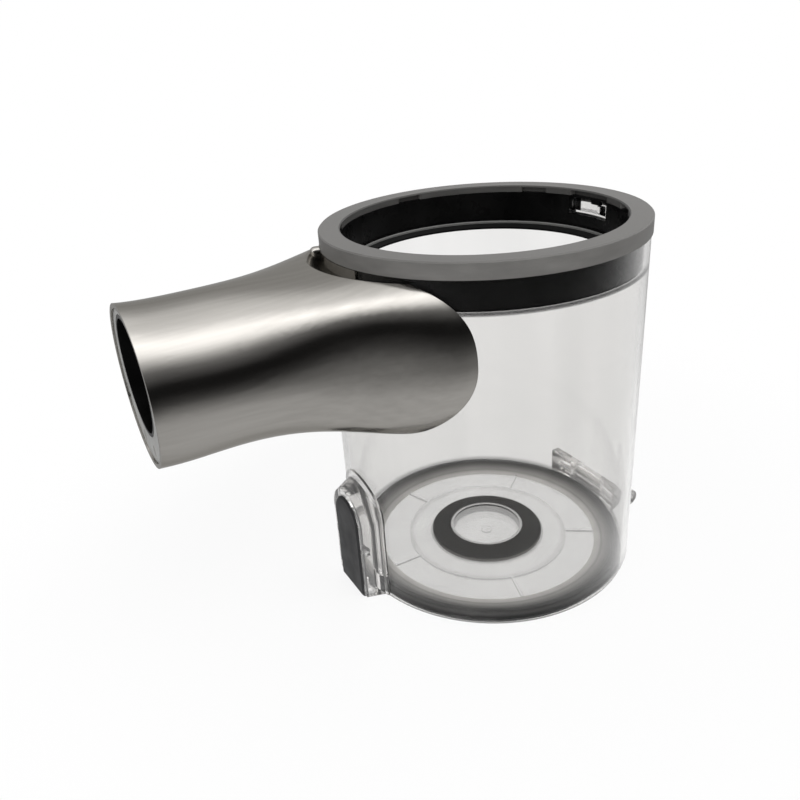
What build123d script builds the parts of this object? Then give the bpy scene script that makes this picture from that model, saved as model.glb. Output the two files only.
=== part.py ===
import os
from math import sqrt

from build123d import *

os.makedirs("parts", exist_ok=True)

# Driving dimensions in millimetres. The bin's axis is Z and its foot is at z = 0.
# The inlet points along -Y, and the lid's hinge is at the rear, on +Y.

# Fits
seat_gap = 0.1
run_gap = 0.05
pin_grip = 0.02
move_gap = 0.35

# Clear bin wall
bin_height = 131.7
shell_outer_r = 55.5
shell_wall = 1.8

# Top ring
ring_overhang = 0.5
ring_lip = 0.2
ring_height = 5.4
ring_flange = 2.5
ring_edge = 0.4
notch_count = 6
notch_width = 10.0
notch_depth = 1.5
notch_roof = 0.7

# Collar inside the bin's top: bore for the cyclone, seal ledge and lip
collar_wall = 5.4
collar_drop = 15.5
collar_groove = 0.4
collar_groove_height = 1.0
ledge_depth = 0.5
ledge_drop = 13.4
lip_depth = 2.6
lip_top_drop = 15.7
lip_drop = 16.4
seal_bed_drop = 14.5
collar_seal_width = 1.0
collar_seal_height = 0.9

# Window at the rear of the collar, with its catch
window_width = 19.5
window_drop = 9.2
window_bridge = 0.5
tab_left = 1.0
tab_width = 4.5
tab_height = 1.4
catch_plate = 1.5
catch_ledge = 1.6
catch_post = 1.8
catch_bump_r = 1.6
catch_bump_height = 2.2

# Inlet: length from the bin's wall to the mouth, and depths below the bin's top
inlet_length = 68.8
mouth_rim = 6.7
mouth_top_drop = 3.8
cover_wall = 1.5
# stations of the cover, each with its reach from the bin's wall, half width, depth of its
# top and of its underside, and fullness of its upper and lower corners; the half width is
# drawn in from the bin's radius at the root, and added to the mouth's radius at the neck
root_stations = [
    (-27.5, 10.9, 3.8, 60.2, 0.86, 0.73),
    (-9.5, 14.6, 3.7, 62.7, 0.86, 0.71),
    (6.5, 21.8, 5.7, 57.7, 0.90, 0.78),
]
neck_stations = [
    (24.5, 3.4, 5.8, 54.3, 0.75, 0.69),
    (46.5, 1.3, 5.1, 53.4, 0.59, 0.62),
]
round_fullness = 0.5523
relief_drop = 9.3
relief_shift = 20.0
relief_reach = 9.0
relief_rise = 4.2
lug_turn = 20.0
lug_width = 4.0
lug_length = 3.4
lug_drop = 4.5
lug_edge = 1.4
upstand_wall = 0.6
upstand_left = 26.0
upstand_right = 11.9

# Inlet duct: straight socket for the wand, then a bore that slopes down to the port
socket_r = 17.5
socket_wall = 1.1
socket_rim = 1.9
socket_depth = 33.0
shoulder = 2.0
slope_inset = 1.5
port_drop = 38.0

# Mouth plate with its contacts
plate_recess = 0.6
plate_thickness = 3.0
contact_x = 6.2
contact_inset = 6.1
contact_slot_width = 1.8
contact_slot_height = 4.0
blade_width = 1.0
blade_height = 2.8
blade_length = 13.0
blade_recess = 1.0
block_width = 16.0
block_height = 4.6
block_length = 9.0
key_slot_inset = 5.1
key_slot_below = 8.8
key_slot_width = 2.2
key_slot_height = 5.0

# Lid
lid_inset = 0.4
lid_floor = 1.2
lid_gap = 0.3
lid_edge = 0.4
step_width = 11.0
step_rise = 0.7
cup_floor = 1.0
cup_r = 13.5
cup_lip = 1.0
dimple_r = 2.2
dimple_height = 0.5
rib_count = 5
rib_width = 0.8
rim_seal_width = 10.3
rim_seal_height = 2.7
rim_seal_taper = 1.3
rim_seal_land = 1.6
rim_seal_lip = 0.35
rim_seal_cove = 0.7
rim_seal_clear = 0.4
cup_seal_width = 7.5
cup_seal_top = 3.4
cup_seal_rise = 1.2
cup_seal_wall = 1.1
cup_seal_edge = 0.3

# Hinge at the rear
hinge_out = 3.9
hinge_height = 4.8
ear_r = 3.5
ear_top = 12.5
ear_width = 10.0
knuckle_r = 3.3
knuckle_half = 9.6
hinge_pin_r = 1.25

# Latch at the front, under the inlet
lever_half = 8.8
lever_foot = 0.5
lever_crown = 39.4
lever_out = 6.8
lever_thickness = 2.3
lever_edge = 0.6
latch_pivot_height = 21.0
latch_boss_r = 2.2
latch_pin_r = 1.0
pocket_out = 1.8
housing_out = 6.1
housing_sink = 1.5
housing_wall = 1.75
housing_shoulder = 1.8
housing_roof = 2.9
root_flare = 2.3
root_shoulder = 2.6
root_roof = 4.1
pad_margin = 1.0
pad_shoulder = 4.0
pad_roof = 1.6
pad_thickness = 0.9
tab_half = 5.0
tab_gap = 0.7
tab_thickness = 1.4
tab_bite = 1.4
tab_nose = 3.0
tab_top = 5.0
spring_half = 2.5
spring_leaf = 0.4
spring_low = 4.0
spring_mid = 7.0
spring_high = 14.0

# Sizes that follow from the ones above
shell_inner_r = shell_outer_r - shell_wall
shell_foot = lid_floor + lid_gap
shell_top = bin_height - ring_height
ring_outer_r = shell_outer_r + ring_overhang
ring_skirt_r = shell_inner_r
collar_outer_r = shell_inner_r - seat_gap
collar_bore_r = collar_outer_r - collar_wall
collar_top = bin_height - ring_flange
ring_inner_r = collar_bore_r + ring_lip
ledge_r = collar_bore_r - ledge_depth
lip_r = ledge_r - lip_depth
socket_outer_r = socket_r + socket_wall
slope_r = socket_r - slope_inset
slope_outer_r = slope_r + socket_wall
inlet_reach = shell_outer_r + inlet_length
mouth_r = socket_outer_r + mouth_rim
mouth_z = bin_height - mouth_top_drop - mouth_r
socket_z = mouth_z + mouth_r - cover_wall - socket_rim - socket_outer_r
plate_face = inlet_reach - plate_recess
plate_back = plate_face - plate_thickness
elbow_reach = plate_face - socket_depth
port_z = bin_height - port_drop
contact_z = mouth_z - mouth_r + contact_inset
key_slot_x = mouth_r - key_slot_inset
key_slot_z = mouth_z - key_slot_below
lid_r = shell_outer_r - lid_inset
inner_floor = lid_floor + step_rise
boss_inner_r = cup_r + cup_lip
cup_seal_inner_r = boss_inner_r + seat_gap
cup_seal_r = cup_seal_inner_r + cup_seal_width
boss_outer_r = cup_seal_r - cup_seal_wall - seat_gap
cup_seal_crown = cup_seal_top + cup_seal_rise
rim_seal_outer_r = shell_inner_r - rim_seal_clear
rim_seal_inner_r = rim_seal_outer_r - rim_seal_width
step_r = rim_seal_inner_r - step_width
hinge_reach = shell_outer_r + hinge_out
ear_inner_x = knuckle_half + move_gap
ear_outer_x = ear_inner_x + ear_width
lever_face = shell_outer_r + lever_out
lever_back = lever_face - lever_thickness
lever_spring = lever_crown - lever_half
pocket_floor = shell_outer_r + pocket_out
pocket_half = lever_half + move_gap
pocket_spring = lever_spring + move_gap
pocket_crown = lever_crown + move_gap
housing_reach = shell_outer_r + housing_out
housing_root = shell_outer_r - housing_sink
housing_half = pocket_half + housing_wall
housing_spring = lever_spring + housing_shoulder
housing_crown = lever_crown + housing_roof
housing_root_half = housing_half + root_flare
housing_root_spring = housing_spring + root_shoulder
housing_root_crown = housing_crown + root_roof
pad_half = housing_root_half + pad_margin
pad_spring = housing_root_spring - pad_shoulder
pad_crown = housing_root_crown + pad_roof
tab_inner = shell_outer_r + tab_gap
tab_outer = tab_inner + tab_thickness
tab_tip = tab_outer + tab_bite
far = 3 * bin_height


def front_plane(reach):
    """Plane across the inlet at a reach from the bin's axis, with X and Z as its axes."""
    return Plane(origin=(0, -reach, 0), x_dir=(1, 0, 0), z_dir=(0, -1, 0))


def inlet_form(inset):
    """Solid of the inlet, from inside the bin to the mouth, drawn in by an inset."""
    stations = [(reach, shell_outer_r - drawn_in, *depths) for reach, drawn_in, *depths in root_stations]
    stations += [(reach, mouth_r + wider, *depths) for reach, wider, *depths in neck_stations]
    mouth_foot_drop = mouth_top_drop + 2 * mouth_r
    stations += [(inlet_length, mouth_r, mouth_top_drop, mouth_foot_drop, round_fullness, round_fullness)]
    with BuildPart() as form:
        for reach, half_width, top_drop, foot_drop, top_full, foot_full in stations:
            mid = bin_height - (top_drop + foot_drop) / 2
            half_height = (foot_drop - top_drop) / 2 - inset
            half = half_width - inset
            corners = [(1, 1, top_full), (-1, 1, top_full), (-1, -1, foot_full), (1, -1, foot_full)]
            with BuildSketch(front_plane(shell_outer_r + reach)):
                with BuildLine():
                    for side, rise, full in corners:
                        Bezier(
                            (side * half, mid),
                            (side * half, mid + rise * full * half_height),
                            (side * full * half, mid + rise * half_height),
                            (0, mid + rise * half_height),
                        )
                make_face()
        loft()
    return form.part


def ring_relief(inset):
    """Sloping cut under the top ring, deepest at the middle, that lowers the inlet's top."""
    slope = relief_rise / relief_reach
    floor_z = bin_height - relief_drop - inset * sqrt(1 + slope**2)
    floor_r = shell_outer_r - relief_shift
    axis_plane = front_plane(relief_shift)
    with BuildPart() as relief:
        with BuildSketch(axis_plane):
            Polygon(
                (0, floor_z),
                (floor_r, floor_z),
                (floor_r + 3 * relief_reach, floor_z + 3 * relief_rise),
                (0, floor_z + 3 * relief_rise),
                align=None,
            )
        revolve(axis=Axis(axis_plane.origin, (0, 0, 1)))
    return relief.part


def arch_block(foot, stations):
    """Flat-footed block through arches given as reach, half width, side height and crown height."""
    with BuildPart() as block:
        for reach, half_width, spring, crown in stations:
            with BuildSketch(front_plane(reach)):
                with BuildLine():
                    Polyline(
                        (-half_width, spring),
                        (-half_width, foot),
                        (half_width, foot),
                        (half_width, spring),
                    )
                    ThreePointArc((half_width, spring), (0, crown), (-half_width, spring))
                make_face()
        loft(ruled=True)
    return block.part


def slope_z(reach):
    """Height of the sloping duct's axis at a reach from the bin's axis."""
    run = elbow_reach - shell_outer_r
    return port_z + (socket_z - port_z) * (reach - shell_outer_r) / run


def slope_bar(radius, start, end):
    """Round bar along the sloping part of the duct, between two reaches."""
    run = Vector(0, start - end, slope_z(end) - slope_z(start))
    with BuildPart() as bar:
        with BuildSketch(front_plane(start)):
            with Locations((0, slope_z(start))):
                Circle(radius)
        extrude(amount=run.length, dir=run.normalized())
    return bar.part


def arc_block(inner_r, outer_r, left, right, foot, height, end=1):
    """Block with round faces between two X positions, at the rear or, for end -1, at the front."""
    with BuildPart() as block:
        with BuildSketch(Plane.XY.offset(foot)):
            Circle(outer_r)
            Circle(inner_r, mode=Mode.SUBTRACT)
            with Locations(((left + right) / 2, end * outer_r)):
                Rectangle(right - left, outer_r, mode=Mode.INTERSECT)
        extrude(amount=height)
    return block.part


def cross_bar(radius, y, z, half_length, mode=Mode.ADD):
    """Round bar along X, centred on the mirror plane."""
    with Locations((0, y, z)):
        Cylinder(radius, 2 * half_length, rotation=(0, 90, 0), mode=mode)


def bin_bore(radius):
    """Round cut along the bin's axis, clear of everything above and below."""
    Cylinder(radius, 2 * far, mode=Mode.SUBTRACT)


# Raised pad of the bin wall behind the latch
pad_arch = arch_block(
    shell_foot,
    [(shell_inner_r / 2, pad_half, pad_spring, pad_crown), (lever_face, pad_half, pad_spring, pad_crown)],
)
with BuildPart() as latch_pad:
    add(pad_arch)
    Cylinder(shell_outer_r + pad_thickness, far, mode=Mode.INTERSECT)

# Outer form of the latch housing, and the pocket for the lever
housing_form = arch_block(
    shell_foot,
    [
        (housing_root, housing_root_half, housing_root_spring, housing_root_crown),
        (housing_reach, housing_half, housing_spring, housing_crown),
    ],
)
pocket_form = arch_block(
    -lid_gap,
    [
        (pocket_floor, pocket_half, pocket_spring, pocket_crown),
        (lever_face, pocket_half, pocket_spring, pocket_crown),
    ],
)
port_bar = slope_bar(slope_outer_r + seat_gap, shell_inner_r / 2, elbow_reach)

# Clear bin wall with its latch housing and hinge ears
with BuildPart() as bin_shell:
    with BuildSketch(Plane.XY.offset(shell_foot)):
        Circle(shell_outer_r)
    extrude(amount=shell_top - shell_foot)
    add(latch_pad.part)
    add(housing_form)
    for side in (-1, 1):
        with BuildSketch(Plane.YZ.offset(side * (ear_inner_x + ear_outer_x) / 2)):
            with Locations((hinge_reach, hinge_height)):
                Circle(ear_r)
            Polygon(
                (hinge_reach + ear_r, hinge_height),
                (shell_outer_r, ear_top),
                (shell_inner_r / 2, ear_top),
                (shell_inner_r / 2, shell_foot),
                (hinge_reach, shell_foot),
                align=None,
            )
        extrude(amount=(ear_outer_x - ear_inner_x) / 2, both=True)
    bin_bore(shell_inner_r)
    add(pocket_form, mode=Mode.SUBTRACT)
    with Locations((0, -shell_outer_r - seat_gap, 0)):
        Box(
            2 * (tab_half + move_gap),
            shell_outer_r,
            tab_top + lid_gap,
            align=(Align.CENTER, Align.MAX, Align.MIN),
            mode=Mode.SUBTRACT,
        )
    cross_bar(latch_pin_r + pin_grip, -lever_back, latch_pivot_height, far, mode=Mode.SUBTRACT)
    cross_bar(hinge_pin_r + pin_grip, hinge_reach, hinge_height, far, mode=Mode.SUBTRACT)
    add(port_bar, mode=Mode.SUBTRACT)

# Satin ring on the bin's top, with bayonet notches in its inner lip
with BuildPart() as top_ring:
    with BuildSketch(Plane.XZ):
        with BuildLine():
            Polyline(
                (ring_inner_r, collar_top),
                (ring_inner_r, bin_height - ring_edge),
                (ring_inner_r + ring_edge, bin_height),
                (ring_outer_r - ring_edge, bin_height),
                (ring_outer_r, bin_height - ring_edge),
                (ring_outer_r, shell_top),
                (ring_skirt_r, shell_top),
                (ring_skirt_r, collar_top),
                close=True,
            )
        make_face()
    revolve(axis=Axis.Z)
    with BuildSketch(Plane.XY.offset(collar_top)):
        with PolarLocations(ring_inner_r, notch_count):
            Rectangle(2 * notch_depth, notch_width)
        with Locations((0, ring_inner_r)):
            Rectangle(window_width, 2 * notch_depth)
    extrude(amount=ring_flange - notch_roof, mode=Mode.SUBTRACT)

# Black collar with the cyclone's bore, seal ledge and rear window
window_foot = bin_height - window_drop
window_rise = collar_top - window_bridge - window_foot
window_tab = arc_block(
    collar_bore_r,
    collar_bore_r + catch_plate,
    tab_left,
    tab_left + tab_width,
    window_foot + window_rise - tab_height,
    tab_height + window_bridge / 2,
)
with BuildPart() as bayonet_collar:
    with BuildSketch(Plane.XZ):
        with BuildLine():
            Polyline(
                (collar_bore_r, collar_top),
                (collar_bore_r, bin_height - ledge_drop),
                (ledge_r, bin_height - ledge_drop),
                (ledge_r, bin_height - seal_bed_drop),
                (ledge_r - collar_seal_width - seat_gap, bin_height - seal_bed_drop),
                (lip_r, bin_height - lip_top_drop),
                (lip_r, bin_height - lip_drop),
                (ledge_r, bin_height - lip_drop),
                (collar_bore_r, bin_height - collar_drop),
                (collar_outer_r - collar_groove, bin_height - collar_drop),
                (collar_outer_r - collar_groove, bin_height - collar_drop + collar_groove_height),
                (collar_outer_r, bin_height - collar_drop + collar_groove_height),
                (collar_outer_r, collar_top),
                close=True,
            )
        make_face()
    revolve(axis=Axis.Z)
    with BuildSketch(Plane.XY.offset(window_foot)):
        with Locations((0, collar_outer_r)):
            Rectangle(window_width, collar_outer_r)
    extrude(amount=window_rise, mode=Mode.SUBTRACT)
    add(window_tab)

# Rubber ring in the collar's ledge
with BuildPart() as collar_seal:
    with BuildSketch(Plane.XZ):
        with Locations((ledge_r - seat_gap, bin_height - seal_bed_drop)):
            Rectangle(collar_seal_width - seat_gap, collar_seal_height, align=(Align.MAX, Align.MIN))
        chamfer(vertices().group_by(Axis.Y)[-1], collar_seal_width / 4)
    revolve(axis=Axis.Z)

# Clear catch in the collar's rear window
catch_half = window_width / 2 - seat_gap
catch_outer_r = collar_outer_r - seat_gap
catch_rise = window_rise - seat_gap
catch_back = arc_block(
    catch_outer_r - catch_plate, catch_outer_r, -catch_half, catch_half, window_foot, catch_rise
)
catch_shelf = arc_block(
    collar_bore_r + seat_gap, catch_outer_r, -catch_half, catch_half, window_foot, catch_ledge
)
catch_posts = [
    arc_block(
        collar_bore_r + catch_plate, catch_outer_r, left, left + catch_post, window_foot, catch_rise
    )
    for left in (-catch_half, catch_half - catch_post)
]
with BuildPart() as rear_catch:
    add(catch_back)
    add(catch_shelf)
    add(catch_posts)
    with Locations((tab_left + tab_width / 2, collar_bore_r + catch_plate + catch_bump_r, window_foot)):
        Cylinder(
            catch_bump_r,
            catch_ledge + catch_bump_height,
            align=(Align.CENTER, Align.CENTER, Align.MIN),
        )

# Metallic inlet cover, seated on the bin's wall
cover_form = inlet_form(0)
cover_relief = ring_relief(0)
hollow_form = inlet_form(cover_wall)
hollow_relief = ring_relief(cover_wall)
with BuildPart() as inlet_hollow:
    add(hollow_form)
    add(hollow_relief, mode=Mode.SUBTRACT)

with BuildPart() as cover_lug:
    with BuildSketch(Plane.XY.offset(bin_height - relief_drop)):
        with PolarLocations(ring_outer_r, 1, start_angle=-90 - lug_turn):
            SlotOverall(2 * lug_length, lug_width)
    extrude(amount=relief_drop - lug_drop)
    fillet(edges().group_by(Axis.Z)[-1], lug_edge)

cover_upstand = arc_block(
    shell_outer_r,
    shell_outer_r + seat_gap + upstand_wall,
    -upstand_left,
    upstand_right,
    bin_height - relief_drop - cover_wall,
    relief_drop + cover_wall - ring_height - seat_gap,
    end=-1,
)
with BuildPart() as inlet_cover:
    add(cover_form)
    add(cover_relief, mode=Mode.SUBTRACT)
    add(cover_upstand)
    add(cover_lug.part)
    add(inlet_hollow.part, mode=Mode.SUBTRACT)
    bin_bore(shell_outer_r + seat_gap)
    with BuildSketch(Plane.XY.offset(shell_top - seat_gap)):
        Circle(ring_outer_r + seat_gap)
    extrude(amount=far, mode=Mode.SUBTRACT)

# Black duct: straight socket at the mouth, then a slope down to the port in the wall
slope_outside = slope_bar(slope_outer_r, shell_inner_r / 2, elbow_reach + shoulder / 2)
slope_inside = slope_bar(slope_r, shell_inner_r / 2, elbow_reach + shoulder)
with BuildPart() as inlet_duct:
    with BuildSketch(front_plane(elbow_reach)):
        with Locations((0, socket_z)):
            Circle(socket_outer_r)
    extrude(amount=plate_face - elbow_reach)
    add(slope_outside)
    with BuildSketch(front_plane(elbow_reach + shoulder)):
        with Locations((0, socket_z)):
            Circle(socket_r)
    extrude(amount=far, mode=Mode.SUBTRACT)
    add(slope_inside, mode=Mode.SUBTRACT)
    bin_bore(shell_inner_r)

# Pale plate that closes the mouth around the socket, with contact and key slots
plate_form = inlet_form(cover_wall + seat_gap)
with BuildPart() as mouth_plate:
    add(plate_form)
    with BuildSketch(front_plane(plate_back)):
        Rectangle(far, far)
    extrude(amount=plate_thickness, mode=Mode.INTERSECT)
    with BuildSketch(front_plane(plate_back)):
        with Locations((0, socket_z)):
            Circle(socket_outer_r + seat_gap)
        with Locations((-contact_x, contact_z), (contact_x, contact_z)):
            SlotOverall(contact_slot_height, contact_slot_width, rotation=90)
        with Locations((-key_slot_x, key_slot_z), (key_slot_x, key_slot_z)):
            Rectangle(key_slot_width, key_slot_height)
    extrude(amount=plate_thickness, mode=Mode.SUBTRACT)

# Block behind the mouth plate that holds the contacts
with BuildPart() as contact_block:
    with BuildSketch(front_plane(plate_back)):
        with Locations((0, contact_z)):
            Rectangle(block_width, block_height)
        with Locations((-contact_x, contact_z), (contact_x, contact_z)):
            Rectangle(blade_width + 2 * seat_gap, blade_height + 2 * seat_gap, mode=Mode.SUBTRACT)
    extrude(amount=-block_length)

# Pair of contact blades
with BuildPart() as contact_blades:
    with BuildSketch(front_plane(plate_face - blade_recess)):
        with Locations((-contact_x, contact_z), (contact_x, contact_z)):
            Rectangle(blade_width, blade_height)
    extrude(amount=-blade_length)

# Clear lid with its centre cup, ribs, hinge knuckle and catch
with BuildPart() as lid_disc:
    with BuildSketch(Plane.XZ):
        with BuildLine():
            Polyline(
                (0, 0),
                (lid_r - lid_edge, 0),
                (lid_r, lid_edge),
                (lid_r, lid_floor),
                (step_r, lid_floor),
                (step_r, inner_floor),
                (boss_outer_r, inner_floor),
                (boss_outer_r, cup_seal_top - cup_seal_wall - seat_gap),
                (boss_inner_r, cup_seal_crown - cup_seal_wall - seat_gap),
                (boss_inner_r, cup_seal_crown),
                (cup_r, cup_seal_crown),
                (cup_r, cup_floor),
                (0, cup_floor),
                close=True,
            )
        make_face()
    revolve(axis=Axis.Z)
    with BuildSketch(Plane.XY.offset(cup_floor)):
        Circle(dimple_r)
    extrude(amount=dimple_height)
    with BuildSketch(Plane.XY.offset(lid_floor)):
        with PolarLocations((step_r + rim_seal_inner_r) / 2 - seat_gap, rib_count, start_angle=-90):
            Rectangle(rim_seal_inner_r - step_r, rib_width)
    extrude(amount=step_rise)
    cross_bar(knuckle_r, hinge_reach, hinge_height, knuckle_half)
    with Locations((0, hinge_reach, 0)):
        Box(
            2 * knuckle_half,
            hinge_reach - rim_seal_inner_r,
            lid_floor,
            align=(Align.CENTER, Align.MAX, Align.MIN),
        )
        Box(
            2 * knuckle_half,
            knuckle_r,
            hinge_height,
            align=(Align.CENTER, Align.MAX, Align.MIN),
        )
    cross_bar(hinge_pin_r + run_gap, hinge_reach, hinge_height, knuckle_half + seat_gap, mode=Mode.SUBTRACT)
    with BuildSketch(Plane.YZ.offset(-tab_half)):
        with BuildLine():
            Polyline(
                (-rim_seal_inner_r, 0),
                (-tab_outer, 0),
                (-tab_outer, tab_nose),
                (-tab_tip, tab_nose),
                (-tab_tip, (tab_nose + tab_top) / 2),
                (-tab_outer, tab_top),
                (-tab_inner, tab_top),
                (-tab_inner, lid_floor),
                (-rim_seal_inner_r, lid_floor),
                close=True,
            )
        make_face()
    extrude(amount=2 * tab_half)

# Grey rubber seal around the lid's rim
rim_seal_top = lid_floor + rim_seal_height
land_r = rim_seal_outer_r - rim_seal_taper - rim_seal_land
cove_r = (rim_seal_inner_r + land_r) / 2
cove_z = lid_floor + rim_seal_lip + rim_seal_cove
with BuildPart() as lid_rim_seal:
    with BuildSketch(Plane.XZ):
        with BuildLine():
            Polyline(
                (land_r, rim_seal_top),
                (land_r + rim_seal_land, rim_seal_top),
                (rim_seal_outer_r, lid_floor + rim_seal_height / 3),
                (rim_seal_outer_r, lid_floor),
                (rim_seal_inner_r, lid_floor),
                (rim_seal_inner_r, lid_floor + rim_seal_lip),
            )
            ThreePointArc(
                (rim_seal_inner_r, lid_floor + rim_seal_lip),
                (cove_r, cove_z),
                (land_r, rim_seal_top),
            )
        make_face()
    revolve(axis=Axis.Z)

# Dark seal on the lid's centre cup, with a skirt around the cup's outside
with BuildPart() as cup_seal:
    with BuildSketch(Plane.XZ):
        with BuildLine():
            Polyline(
                (cup_seal_r, inner_floor),
                (cup_seal_r, cup_seal_top - cup_seal_edge),
                (cup_seal_r - cup_seal_edge, cup_seal_top),
                (cup_seal_inner_r, cup_seal_crown),
                (cup_seal_inner_r, cup_seal_crown - cup_seal_wall),
                (cup_seal_r - cup_seal_wall, cup_seal_top - cup_seal_wall),
                (cup_seal_r - cup_seal_wall, inner_floor),
                close=True,
            )
        make_face()
    revolve(axis=Axis.Z)

# Pins of the hinge and the latch
with BuildPart() as hinge_pin:
    cross_bar(hinge_pin_r, hinge_reach, hinge_height, ear_outer_x - lid_edge)

with BuildPart() as latch_pin:
    cross_bar(latch_pin_r, -lever_back, latch_pivot_height, housing_half)

# Latch lever: arched face and pivot boss
with BuildPart() as latch_lever:
    with BuildSketch(front_plane(lever_back)):
        with BuildLine():
            Polyline(
                (-lever_half, lever_spring),
                (-lever_half, lever_foot),
                (lever_half, lever_foot),
                (lever_half, lever_spring),
            )
            ThreePointArc((lever_half, lever_spring), (0, lever_crown), (-lever_half, lever_spring))
        make_face()
    extrude(amount=lever_face - lever_back)
    chamfer(faces().sort_by(Axis.Y)[0].edges(), lever_edge)
    cross_bar(latch_boss_r, -lever_back, latch_pivot_height, lever_half)
    cross_bar(latch_pin_r + run_gap, -lever_back, latch_pivot_height, far, mode=Mode.SUBTRACT)

# Bent leaf spring behind the lever's upper half
spring_seat = -pocket_floor - seat_gap
spring_touch = -lever_back + seat_gap
with BuildPart() as latch_spring:
    with BuildSketch(Plane.YZ.offset(-spring_half)):
        with BuildLine():
            Polyline(
                (spring_seat, latch_pivot_height + spring_low),
                (spring_seat, latch_pivot_height + spring_mid),
                (spring_touch + spring_leaf, latch_pivot_height + spring_high),
                (spring_touch, latch_pivot_height + spring_high),
                (spring_seat - spring_leaf, latch_pivot_height + spring_mid),
                (spring_seat - spring_leaf, latch_pivot_height + spring_low),
                close=True,
            )
        make_face()
    extrude(amount=2 * spring_half)

pieces = {
    "bin_shell": bin_shell,
    "top_ring": top_ring,
    "bayonet_collar": bayonet_collar,
    "collar_seal": collar_seal,
    "rear_catch": rear_catch,
    "inlet_cover": inlet_cover,
    "inlet_duct": inlet_duct,
    "mouth_plate": mouth_plate,
    "contact_block": contact_block,
    "contact_blades": contact_blades,
    "lid_disc": lid_disc,
    "lid_rim_seal": lid_rim_seal,
    "cup_seal": cup_seal,
    "hinge_pin": hinge_pin,
    "latch_pin": latch_pin,
    "latch_lever": latch_lever,
    "latch_spring": latch_spring,
}
for name, piece in pieces.items():
    piece.part.label = name
    export_step(piece.part, f"parts/{name}.step")
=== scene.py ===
"""Looks of the cyclone dust bin: finishes, studio light, floor and camera around its solids."""

import math

import bpy
from mathutils import Matrix, Vector

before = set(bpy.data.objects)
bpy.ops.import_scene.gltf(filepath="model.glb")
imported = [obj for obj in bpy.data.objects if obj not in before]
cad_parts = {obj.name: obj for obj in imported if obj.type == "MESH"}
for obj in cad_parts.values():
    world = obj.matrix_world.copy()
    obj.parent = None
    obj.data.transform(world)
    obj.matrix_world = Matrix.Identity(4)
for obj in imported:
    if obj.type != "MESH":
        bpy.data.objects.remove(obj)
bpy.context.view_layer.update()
scene = bpy.context.scene

# Camera, in metres and degrees, solved from the ring, the foot and the inlet of the photograph
CAMERA_PLACE = (0.21678, -0.15071, 0.19305)
CAMERA_TURN = 64.75
CAMERA_TILT = 25.73
CAMERA_ROLL = -5.23
CAMERA_SHIFT = (0.0396, -0.0066)
CAMERA_CLIP = (0.01, 20)
# Lens and sensor, in millimetres
CAMERA_LENS = 34.396
CAMERA_SENSOR = 36.0

# Colours, linear
COAT_DARK = (0.246, 0.237, 0.222, 1)
COAT_LIGHT = (0.278, 0.268, 0.252, 1)
COAT_EDGE = (0.6, 0.59, 0.57, 1)
BLACK_DARK = (0.0015, 0.0015, 0.0015, 1)
BLACK_LIGHT = (0.004, 0.004, 0.004, 1)
PLATE_DARK = (0.22, 0.22, 0.215, 1)
PLATE_LIGHT = (0.30, 0.30, 0.29, 1)
LEVER_DARK = (0.026, 0.026, 0.027, 1)
LEVER_LIGHT = (0.040, 0.040, 0.041, 1)
RUBBER_DARK = (0.07, 0.07, 0.067, 1)
RUBBER_LIGHT = (0.095, 0.095, 0.091, 1)
STEEL_DARK = (0.42, 0.42, 0.41, 1)
STEEL_LIGHT = (0.62, 0.62, 0.61, 1)
BRASS_DARK = (0.52, 0.38, 0.16, 1)
BRASS_LIGHT = (0.72, 0.56, 0.28, 1)

# Rim seal from its inner to its outer edge, darker outward with painted shade in its cove and at its
# outer edge: distance from the bin's axis in metres, and grey
RIM_PAINTED_SHADE_GREYS = (
    (0.0430, 0.46), (0.0450, 0.36), (0.0457, 0.19), (0.0465, 0.24), (0.0492, 0.075),
    (0.0508, 0.025), (0.0516, 0.003), (0.0522, 0.003), (0.0526, 0.03), (0.0532, 0.005),
)
# Top ring from its outside to its inner lip, with painted shade that darkens faces looking at the
# bin's axis: how far a face looks at the bin's axis, and grey
RING_PAINTED_SHADE_GREYS = ((0.1, 0.120), (0.6, 0.05))
# Cup seal from its flat top to its upright side, whose lighter grey is a painted sheen
CUP_PAINTED_SHEEN_GREYS = ((0.2, 0.036), (0.8, 0.13))
# Cloudy wear of these greys, as a range of shares, and their warm tint
GREY_CLOUDS = (0.86, 1.1)
GREY_WARMTH = (1.0, 0.975, 0.935)

# Clear plastic: its bulk, its gloss, the warm tint of each face and its streaks as a range of shares
CLEAR_IOR = 1.49
CLEAR_TINT = (0.81, 0.80, 0.79, 1)
CLEAR_DENSITY = 60.0
CLEAR_GLOSS = (0.12, 0.12, 0.12, 1)
CLEAR_WARMTH = (1.0, 0.995, 0.986)
CLEAR_STREAKS = (0.955, 1.03)
# Smoke of the clear pieces: distance from the bin's axis in metres, and share of light let through.
# The latch housing and hinge, outside the wall, are paler. The lid is greyer than the shell, partly
# smoke and partly painted shade, and painted shade darkens it further round the cup seal, at its
# step and at its edge
SHELL_SMOKE = ((0.0540, 0.87), (0.0556, 0.87), (0.0562, 0.90))
LID_SMOKE_AND_PAINTED_SHADE = (
    (0.0128, 0.64), (0.0134, 0.40), (0.0227, 0.38), (0.0231, 0.66), (0.0292, 0.66), (0.0316, 0.50),
    (0.0321, 0.66), (0.0531, 0.66), (0.0534, 0.30), (0.0553, 0.25), (0.0557, 0.97),
)
# Painted shade that darkens the wall at its foot and where the collar's lower edge meets the wall:
# height in metres, and share of light let through
WALL_PAINTED_SHADE = (
    (0.0013, 0.35), (0.0030, 0.5), (0.0045, 1.0),
    (0.1150, 1.0), (0.1152, 0.15), (0.1166, 0.15), (0.1168, 1.0),
)
# Painted shade on the lid's upright faces, which are made darker: slant from 0 to 1, and share of
# light let through
SLANT_PAINTED_SHADE = ((0.3, 1.0), (0.7, 0.5))
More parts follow.
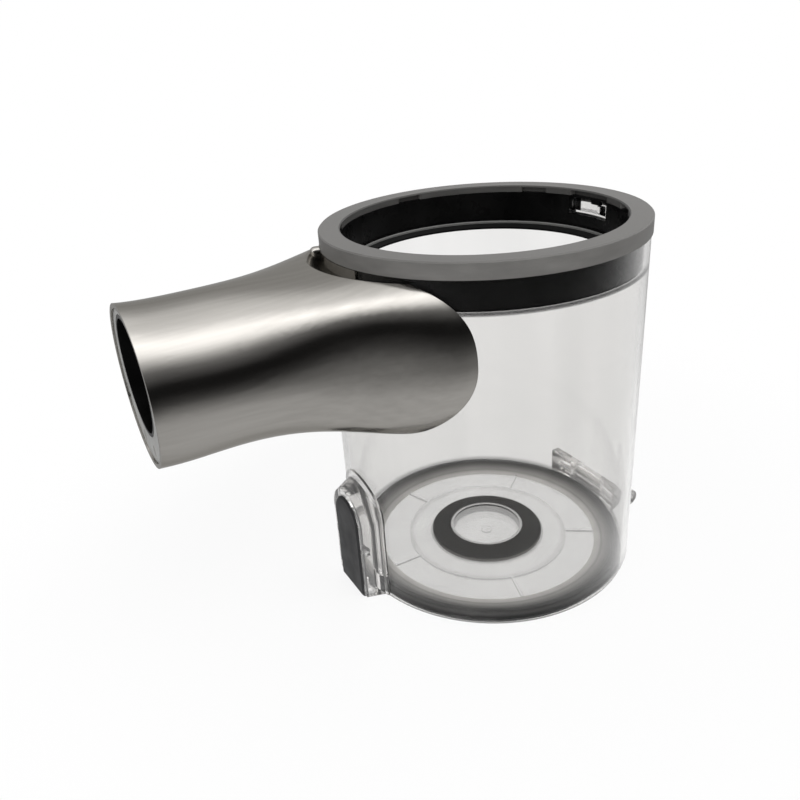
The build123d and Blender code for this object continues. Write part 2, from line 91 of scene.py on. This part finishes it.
# Milkiness outside the wall: distance from the bin's axis in metres, and share of clear plastic
CLARITY = ((0.0556, 1.0), (0.0562, 0.9))
# The bin's wall is what lies within this distance of its axis, in metres, and how squarely its
# faces look away from the axis or at it
WALL_REACH = 0.0556
WALL_FACING = 0.99

# Roughness from the most to the least polished spots
COAT_ROUGH = (0.15, 0.20)
CLEAR_ROUGH = (0.0, 0.06)
BLACK_ROUGH = (0.22, 0.36)
PLATE_ROUGH = (0.42, 0.58)
LEVER_ROUGH = (0.34, 0.5)
RUBBER_ROUGH = (0.34, 0.5)
RING_ROUGH = (0.44, 0.58)
CUP_ROUGH = (0.5, 0.66)
BRASS_ROUGH = (0.22, 0.4)
STEEL_ROUGH = (0.2, 0.36)

# Noise frequencies per metre along X, Y and Z
CLOUD_NOISE = (70, 70, 70)
WEAR_NOISE = (190, 190, 190)
GRAIN_NOISE = (2600, 2600, 2600)
GRADED_NOISE = (90, 90, 300)
FLOW_NOISE = (420, 12, 420)
FLAKE_NOISE = (5200, 5200, 5200)
COAT_RIPPLE_NOISE = (90, 18, 90)
COAT_WEAR_NOISE = (260, 20, 260)
STREAK_NOISE = (42, 42, 4)
MARK_NOISE = (110, 110, 240)
CLEAR_RIPPLE_NOISE = (45, 45, 12)
BLADE_NOISE = (900, 60, 900)
SPRING_NOISE = (1500, 1500, 1500)
PIN_NOISE = (60, 1800, 1800)

# Bump heights, in metres
BLACK_GRAIN = 0.000004
PLATE_GRAIN = 0.00002
LEVER_GRAIN = 0.00002
RUBBER_GRAIN = 0.00001
GRADED_GRAIN = 0.00001
FLAKE_HEIGHT = 0.000002
FLOW_HEIGHT = 0.000002
COAT_RIPPLE_HEIGHT = 0.000013
CLEAR_RIPPLE_HEIGHT = 0.00008
DRAWN_HEIGHT = 0.000008
# Height of a moulding's cloudy bumps, as a multiple of its grain's height
CLOUDS_OVER_GRAIN = 4

# Parts of a noise that its range and its colours are spread over
NOISE_MIDDLE = (0.3, 0.7)
COLOUR_MIDDLE = (0.32, 0.68)

# White studio: a plain world, and a pale floor that keeps the object's shadow. The camera sees the
# world's white through the floor, so that the open lid, which swings below it, still shows
WORLD_LIGHT = 0.55
FLOOR_RADIUS = 3.0
FLOOR_CORNERS = 128
FLOOR_COLOUR = (0.82, 0.82, 0.82, 1)
# Share of white that the floor shows near the object, where the shadow is, and further out, with
# the distances between which it changes, in metres
SHADOW_WHITE = (0.85, 1.0)
SHADOW_REACH = (0.08, 0.24)
# What gloss sees: dark walls on +X, a long soft lamp overhead and a grey wall on -X, by the angle in
# degrees from +X over the top to -X, and a floor that darkens along X in metres, with a painted
# shadow of the bin where it dips on the -X side
LAMP_PROFILE = (
    (14, 0.02), (36, 0.38), (46, 1.3), (60, 3.3), (74, 4.2),
    (98, 2.3), (122, 1.85), (148, 0.95), (180, 0.7),
)
FLOOR_PROFILE = ((-0.10, 0.6), (0.03, 0.95), (0.15, 0.95), (0.27, 0.45), (0.42, 0.16), (0.8, 0.05))
# Share of that which gloss inside the clear plastic sees
CLEAR_SHARE = 0.4

# Soft lamps: name, place and size in metres, and power in watts
LAMP_AIM = (0, -0.05, 0.09)
LAMPS = (
    ("key_lamp", (0.50, 0.10, 0.85), (1.5, 0.24), 5.0),
    ("fill_lamp", (0.55, -0.60, 0.45), (0.5, 0.5), 3.0),
    ("rim_lamp", (-0.6, 0.4, 0.5), (0.5, 0.5), 0.9),
)


def plug(tree, socket, value):
    """Feeds a socket from a node's output, or sets it to a plain number or vector."""
    if isinstance(value, (int, float, tuple)):
        socket.default_value = value
    else:
        tree.links.new(value, socket)


def combine(tree, operation, *values):
    """Result of a math node over outputs or plain numbers."""
    node = tree.nodes.new("ShaderNodeMath")
    node.operation = operation
    for socket, value in zip(node.inputs, values):
        plug(tree, socket, value)
    return node.outputs["Value"]


def combine_vectors(tree, operation, *values, output="Vector"):
    """Result of a vector math node over outputs or plain vectors."""
    node = tree.nodes.new("ShaderNodeVectorMath")
    node.operation = operation
    for socket, value in zip(node.inputs, values):
        plug(tree, socket, value)
    return node.outputs[output]


def dot(tree, first, second):
    """How far two vectors point the same way."""
    return combine_vectors(tree, "DOT_PRODUCT", first, second, output="Value")


def remap(tree, value, source, target, smooth=False):
    """Value carried from a source range to a target range."""
    span = tree.nodes.new("ShaderNodeMapRange")
    if smooth:
        span.interpolation_type = "SMOOTHSTEP"
    plug(tree, span.inputs["Value"], value)
    for name, end in zip(("From Min", "From Max", "To Min", "To Max"), (*source, *target)):
        plug(tree, span.inputs[name], end)
    return span.outputs["Result"]


def blend(tree, share, first, second):
    """First value where the share is 0, second value where it is 1."""
    return remap(tree, share, (0, 1), (first, second))


def profile(tree, value, stops):
    """Level that follows a value through pairs of a place and a level."""
    first, last = stops[0][0], stops[-1][0]
    peak = max(level for place, level in stops)
    ramp = tree.nodes.new("ShaderNodeValToRGB")
    marks = ramp.color_ramp.elements
    while len(marks) < len(stops):
        marks.new(0.5)
    for mark, (place, level) in zip(marks, stops):
        mark.position = (place - first) / (last - first)
        mark.color = (level / peak, level / peak, level / peak, 1)
    tree.links.new(remap(tree, value, (first, last), (0, 1)), ramp.inputs["Fac"])
    return combine(tree, "MULTIPLY", ramp.outputs["Color"], peak)


def mix_shaders(tree, share, first, second):
    """First shader where the share is 0, second shader where it is 1."""
    mix = tree.nodes.new("ShaderNodeMixShader")
    for socket, value in zip(mix.inputs, (share, first, second)):
        tree.links.new(value, socket)
    return mix.outputs["Shader"]


class Finish:
    """A node material around one Principled shader, with helpers for its textures."""

    def __init__(self, name):
        self.material = bpy.data.materials.new(name)
        self.material.use_nodes = True
        self.tree = self.material.node_tree
        self.nodes = self.tree.nodes
        self.links = self.tree.links
        self.shader = self.nodes["Principled BSDF"]
        self.output = self.nodes["Material Output"]
        coords = self.nodes.new("ShaderNodeTexCoord")
        self.place = coords.outputs["Object"]
        self.normal = coords.outputs["Normal"]

    def set(self, **values):
        """Sets or feeds sockets of the shader by name, with underscores for spaces."""
        for name, value in values.items():
            plug(self.tree, self.shader.inputs[name.replace("_", " ")], value)
        return self

    def noise(self, per_metre, detail, roughness=0.5):
        """Noise over the surface, with a frequency per metre along each axis."""
        mapping = self.nodes.new("ShaderNodeMapping")
        mapping.inputs["Scale"].default_value = per_metre
        self.links.new(self.place, mapping.inputs["Vector"])
        noise = self.nodes.new("ShaderNodeTexNoise")
        noise.inputs["Scale"].default_value = 1.0
        noise.inputs["Detail"].default_value = detail
        noise.inputs["Roughness"].default_value = roughness
        self.links.new(mapping.outputs["Vector"], noise.inputs["Vector"])
        return noise.outputs["Fac"]

    def spread(self, value, low, high):
        """Maps the middle of a noise to the range from low to high."""
        return remap(self.tree, value, NOISE_MIDDLE, (low, high))

    def across(self):
        """Vector from the bin's axis, level with the point."""
        return combine_vectors(self.tree, "MULTIPLY", self.place, (1, 1, 0))

    def outward(self):
        """Direction away from the bin's axis."""
        return combine_vectors(self.tree, "NORMALIZE", self.across())

    def radius(self):
        """Distance from the bin's axis, in metres."""
        return combine_vectors(self.tree, "LENGTH", self.across(), output="Value")

    def height(self):
        """Height over the lid's underside, in metres."""
        return dot(self.tree, self.place, (0, 0, 1))

    def slant(self):
        """0 on level faces and 1 on upright ones."""
        rise = combine(self.tree, "ABSOLUTE", dot(self.tree, self.normal, (0, 0, 1)))
        return combine(self.tree, "SUBTRACT", 1.0, rise)

    def inward(self):
        """1 on faces that look at the bin's axis, 0 on level ones, -1 on those that look away."""
        return combine(self.tree, "MULTIPLY", dot(self.tree, self.outward(), self.normal), -1.0)

    def round_wall(self):
        """Normal that is exactly round on the bin's wall and the mesh's own elsewhere."""
        outward = self.outward()
        facing = dot(self.tree, outward, self.normal)
        sign = combine(self.tree, "SIGN", facing)
        true = combine_vectors(self.tree, "MULTIPLY", outward, sign)
        squareness = combine(self.tree, "ABSOLUTE", facing)
        square = combine(self.tree, "GREATER_THAN", squareness, WALL_FACING)
        near = combine(self.tree, "LESS_THAN", self.radius(), WALL_REACH)
        on_wall = combine(self.tree, "MULTIPLY", square, near)
        change = combine_vectors(self.tree, "SUBTRACT", true, self.normal)
        change = combine_vectors(self.tree, "MULTIPLY", change, on_wall)
        rounded = combine_vectors(self.tree, "ADD", self.normal, change)
        turned = self.nodes.new("ShaderNodeVectorTransform")
        turned.vector_type = "NORMAL"
        turned.convert_from, turned.convert_to = "OBJECT", "WORLD"
        self.links.new(rounded, turned.inputs["Vector"])
        return turned.outputs["Vector"]

    def colour(self, value, dark, light):
        """Base colour that runs from dark to light with a noise."""
        ramp = self.nodes.new("ShaderNodeValToRGB")
        for mark, place, tone in zip(ramp.color_ramp.elements, COLOUR_MIDDLE, (dark, light)):
            mark.position = place
            mark.color = tone
        self.links.new(value, ramp.inputs["Fac"])
        self.set(Base_Color=ramp.outputs["Color"])

    def grey(self, level, tint):
        """Base colour of a tinted grey that follows a level."""
        self.set(Base_Color=combine_vectors(self.tree, "MULTIPLY", level, tint))

    def roughness(self, value, low, high):
        """Roughness that runs from low to high with a noise."""
        self.set(Roughness=self.spread(value, low, high))

    def bump(self, *layers, below=None):
        """Bumps from pairs of a noise and a height in metres, one on the other."""
        for value, height in layers:
            bump = self.nodes.new("ShaderNodeBump")
            bump.inputs["Strength"].default_value = 1.0
            bump.inputs["Distance"].default_value = height
            self.links.new(value, bump.inputs["Height"])
            if below is not None:
                self.links.new(below, bump.inputs["Normal"])
            below = bump.outputs["Normal"]
        self.set(Normal=below)


def moulded(name, dark, light, rough, grain, specular=0.5):
    """Moulded plastic or rubber with cloudy colour, a fine grain and worn gloss."""
    finish = Finish(name).set(Specular_IOR_Level=specular)
    cloud = finish.noise(CLOUD_NOISE, detail=4)
    fine = finish.noise(GRAIN_NOISE, detail=2)
    finish.colour(cloud, dark, light)
    finish.roughness(finish.noise(WEAR_NOISE, detail=5), *rough)
    finish.bump((fine, grain), (cloud, grain * CLOUDS_OVER_GRAIN))
    return finish.material


def graded(name, measure, greys, rough, specular):
    """Plastic or rubber whose grey follows a measure of its shape as painted shade and sheen, with
    cloudy wear and grain.
    """
    finish = Finish(name).set(Specular_IOR_Level=specular)
    cloud = finish.noise(GRADED_NOISE, detail=4)
    tone = profile(finish.tree, measure(finish), greys)
    tone = combine(finish.tree, "MULTIPLY", tone, finish.spread(cloud, *GREY_CLOUDS))
    finish.grey(tone, GREY_WARMTH)
    finish.roughness(cloud, *rough)
    finish.bump((finish.noise(GRAIN_NOISE, detail=2), GRADED_GRAIN))
    return finish.material


def metallic_coat(name):
    """Satin metallic coat with flow lines along the inlet and a faint ripple."""
    finish = Finish(name).set(Metallic=1.0, Specular_Tint=COAT_EDGE)
    flow = finish.noise(FLOW_NOISE, detail=4, roughness=0.55)
    ripple = finish.noise(COAT_RIPPLE_NOISE, detail=2)
    flake = finish.noise(FLAKE_NOISE, detail=1)
    finish.colour(flow, COAT_DARK, COAT_LIGHT)
    finish.roughness(finish.noise(COAT_WEAR_NOISE, detail=4), *COAT_ROUGH)
    finish.bump((flake, FLAKE_HEIGHT), (flow, FLOW_HEIGHT), (ripple, COAT_RIPPLE_HEIGHT))
    return finish.material


def clear_plastic(name, smoke, *painted_shade_veils):
    """Clear polished plastic, greyed by its smoke, which on the lid also holds painted shade, and by
    veils of painted shade, with a faint ripple and marks.
    """
    finish = Finish(name).set(IOR=CLEAR_IOR, Specular_Tint=CLEAR_GLOSS)
    tone = profile(finish.tree, finish.radius(), smoke)
    for measure, stops in painted_shade_veils:
        tone = combine(finish.tree, "MULTIPLY", tone, profile(finish.tree, measure(finish), stops))
    streaks = finish.spread(finish.noise(STREAK_NOISE, detail=3), *CLEAR_STREAKS)
    finish.grey(combine(finish.tree, "MULTIPLY", tone, streaks), CLEAR_WARMTH)
    finish.set(Transmission_Weight=profile(finish.tree, finish.radius(), CLARITY))
    finish.roughness(finish.noise(MARK_NOISE, detail=6, roughness=0.7), *CLEAR_ROUGH)
    ripple = finish.noise(CLEAR_RIPPLE_NOISE, detail=2)
    finish.bump((ripple, CLEAR_RIPPLE_HEIGHT), below=finish.round_wall())
    depth = finish.nodes.new("ShaderNodeVolumeAbsorption")
    depth.inputs["Color"].default_value = CLEAR_TINT
    depth.inputs["Density"].default_value = CLEAR_DENSITY
    finish.links.new(depth.outputs["Volume"], finish.output.inputs["Volume"])
    return finish.material


def metal(name, dark, light, per_metre, rough):
    """Bare metal with drawn lines along its length."""
    finish = Finish(name).set(Metallic=1.0)
    lines = finish.noise(per_metre, detail=4)
    finish.colour(lines, dark, light)
    finish.roughness(lines, *rough)
    finish.bump((lines, DRAWN_HEIGHT))
    return finish.material


coat = metallic_coat("metallic_coat")
clear = clear_plastic("clear_plastic", SHELL_SMOKE, (Finish.height, WALL_PAINTED_SHADE))
clear_lid = clear_plastic("clear_lid", LID_SMOKE_AND_PAINTED_SHADE, (Finish.slant, SLANT_PAINTED_SHADE))
black = moulded("black_plastic", BLACK_DARK, BLACK_LIGHT, BLACK_ROUGH, BLACK_GRAIN, specular=0.03)
plate = moulded("pale_plate", PLATE_DARK, PLATE_LIGHT, PLATE_ROUGH, PLATE_GRAIN)
lever = moulded("lever_plastic", LEVER_DARK, LEVER_LIGHT, LEVER_ROUGH, LEVER_GRAIN, specular=0.04)
rubber = moulded("grey_rubber", RUBBER_DARK, RUBBER_LIGHT, RUBBER_ROUGH, RUBBER_GRAIN)
satin_ring = graded("satin_ring", Finish.inward, RING_PAINTED_SHADE_GREYS, RING_ROUGH, specular=0.2)
rim_rubber = graded("rim_rubber", Finish.radius, RIM_PAINTED_SHADE_GREYS, RUBBER_ROUGH, specular=0.35)
cup_rubber = graded("dark_rubber", Finish.slant, CUP_PAINTED_SHEEN_GREYS, CUP_ROUGH, specular=0.08)
brass = metal("contact_metal", BRASS_DARK, BRASS_LIGHT, BLADE_NOISE, BRASS_ROUGH)
spring_steel = metal("spring_steel", STEEL_DARK, STEEL_LIGHT, SPRING_NOISE, STEEL_ROUGH)
pin_steel = metal("pin_steel", STEEL_DARK, STEEL_LIGHT, PIN_NOISE, STEEL_ROUGH)

finishes = {
    "inlet_cover": coat,
    "top_ring": satin_ring,
    "bayonet_collar": black,
    "inlet_duct": black,
    "contact_block": black,
    "mouth_plate": plate,
    "latch_lever": lever,
    "lid_rim_seal": rim_rubber,
    "collar_seal": rubber,
    "cup_seal": cup_rubber,
    "contact_blades": brass,
    "latch_spring": spring_steel,
    "latch_pin": pin_steel,
    "bin_shell": clear,
    "rear_catch": clear,
    "hinge_pin": clear,
    "lid_disc": clear_lid,
}
for name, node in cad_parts.items():
    node.data.materials.clear()
    node.data.materials.append(finishes[name])
    # Clear pieces let the lamps' light through
    if finishes[name] in (clear, clear_lid):
        node.visible_shadow = False
        node.visible_diffuse = False


def white_rays(tree):
    """1 for rays that should see the white studio: from the camera, gloss and clear plastic."""
    path = tree.nodes.new("ShaderNodeLightPath")
    total = path.outputs["Is Camera Ray"]
    for name in ("Is Glossy Ray", "Is Transmission Ray"):
        total = combine(tree, "MAXIMUM", total, path.outputs[name])
    return total


def mirrored_rays(tree):
    """1 for rays that met a glossy reflection on their way, less for those in clear plastic."""
    path = tree.nodes.new("ShaderNodeLightPath")
    mirrored = combine(tree, "MINIMUM", path.outputs["Glossy Depth"], 1.0)
    passed = combine(tree, "MINIMUM", path.outputs["Transmission Depth"], 1.0)
    return combine(tree, "MULTIPLY", mirrored, blend(tree, passed, 1.0, CLEAR_SHARE))


def light_world():
    """Plain white world, in which gloss sees the lamp's profile."""
    world = bpy.data.worlds.new("studio")
    world.use_nodes = True
    scene.world = world
    tree = world.node_tree
    background = tree.nodes["Background"]
    background.inputs["Color"].default_value = (1, 1, 1, 1)
    direction = tree.nodes.new("ShaderNodeTexCoord")
    axes = tree.nodes.new("ShaderNodeSeparateXYZ")
    tree.links.new(direction.outputs["Generated"], axes.inputs["Vector"])
    rise = combine(tree, "ABSOLUTE", axes.outputs["Z"])
    angle = combine(tree, "DEGREES", combine(tree, "ARCTAN2", rise, axes.outputs["X"]))
    plain_level = blend(tree, white_rays(tree), WORLD_LIGHT, 1.0)
    lamp_level = profile(tree, angle, LAMP_PROFILE)
    strength = blend(tree, mirrored_rays(tree), plain_level, lamp_level)
    tree.links.new(strength, background.inputs["Strength"])


def lay_floor():
    """Pale floor with the object's shadow, white for the camera and a profile for gloss."""
    bpy.ops.mesh.primitive_circle_add(
        vertices=FLOOR_CORNERS, radius=FLOOR_RADIUS, fill_type="NGON", location=(0, 0, 0)
    )
    floor = bpy.context.object
    floor.name = "floor"
    paint = bpy.data.materials.new("floor_paint")
    paint.use_nodes = True
    tree = paint.node_tree
    tree.nodes.clear()
    place = tree.nodes.new("ShaderNodeTexCoord").outputs["Object"]
    axes = tree.nodes.new("ShaderNodeSeparateXYZ")
    tree.links.new(place, axes.inputs["Vector"])
    diffuse = tree.nodes.new("ShaderNodeBsdfDiffuse")
    diffuse.inputs["Color"].default_value = FLOOR_COLOUR
    clear_view = tree.nodes.new("ShaderNodeBsdfTransparent")
    glow = tree.nodes.new("ShaderNodeEmission")
    mirrored = mirrored_rays(tree)
    # Level of the floor that gloss sees, with a painted shadow of the bin on its -X side
    floor_level = profile(tree, axes.outputs["X"], FLOOR_PROFILE)
    tree.links.new(blend(tree, mirrored, 1.0, floor_level), glow.inputs["Strength"])
    in_gloss = combine(tree, "GREATER_THAN", mirrored, 0.0)
    white = mix_shaders(tree, in_gloss, clear_view.outputs["BSDF"], glow.outputs["Emission"])
    distance = combine_vectors(tree, "LENGTH", place, output="Value")
    fade = remap(tree, distance, SHADOW_REACH, SHADOW_WHITE, smooth=True)
    share = combine(tree, "MULTIPLY", fade, white_rays(tree))
    surface = mix_shaders(tree, share, diffuse.outputs["BSDF"], white)
    output = tree.nodes.new("ShaderNodeOutputMaterial")
    tree.links.new(surface, output.inputs["Surface"])
    floor.data.materials.append(paint)


def hang_lamp(name, place, size, power):
    """Rectangular soft lamp that points at the object and that gloss does not see."""
    lamp = bpy.data.lights.new(name, "AREA")
    lamp.shape = "RECTANGLE"
    lamp.size, lamp.size_y = size
    lamp.energy = power
    holder = bpy.data.objects.new(name, lamp)
    holder.location = place
    holder.rotation_mode = "QUATERNION"
    holder.rotation_quaternion = (Vector(LAMP_AIM) - Vector(place)).to_track_quat("-Z", "Y")
    holder.visible_glossy = False
    scene.collection.objects.link(holder)


def place_camera():
    """Camera of the photograph."""
    eye = bpy.data.cameras.new("camera")
    eye.sensor_width = CAMERA_SENSOR
    eye.lens = CAMERA_LENS
    eye.shift_x, eye.shift_y = CAMERA_SHIFT
    eye.clip_start, eye.clip_end = CAMERA_CLIP
    camera = bpy.data.objects.new("camera", eye)
    turn = Matrix.Rotation(math.radians(CAMERA_TURN), 4, "Z")
    tilt = Matrix.Rotation(math.radians(90 - CAMERA_TILT), 4, "X")
    roll = Matrix.Rotation(math.radians(CAMERA_ROLL), 4, "Z")
    camera.matrix_world = Matrix.Translation(CAMERA_PLACE) @ turn @ tilt @ roll
    scene.collection.objects.link(camera)
    scene.camera = camera


light_world()
lay_floor()
for lamp_settings in LAMPS:
    hang_lamp(*lamp_settings)
place_camera()
scene.view_settings.view_transform = "Standard"
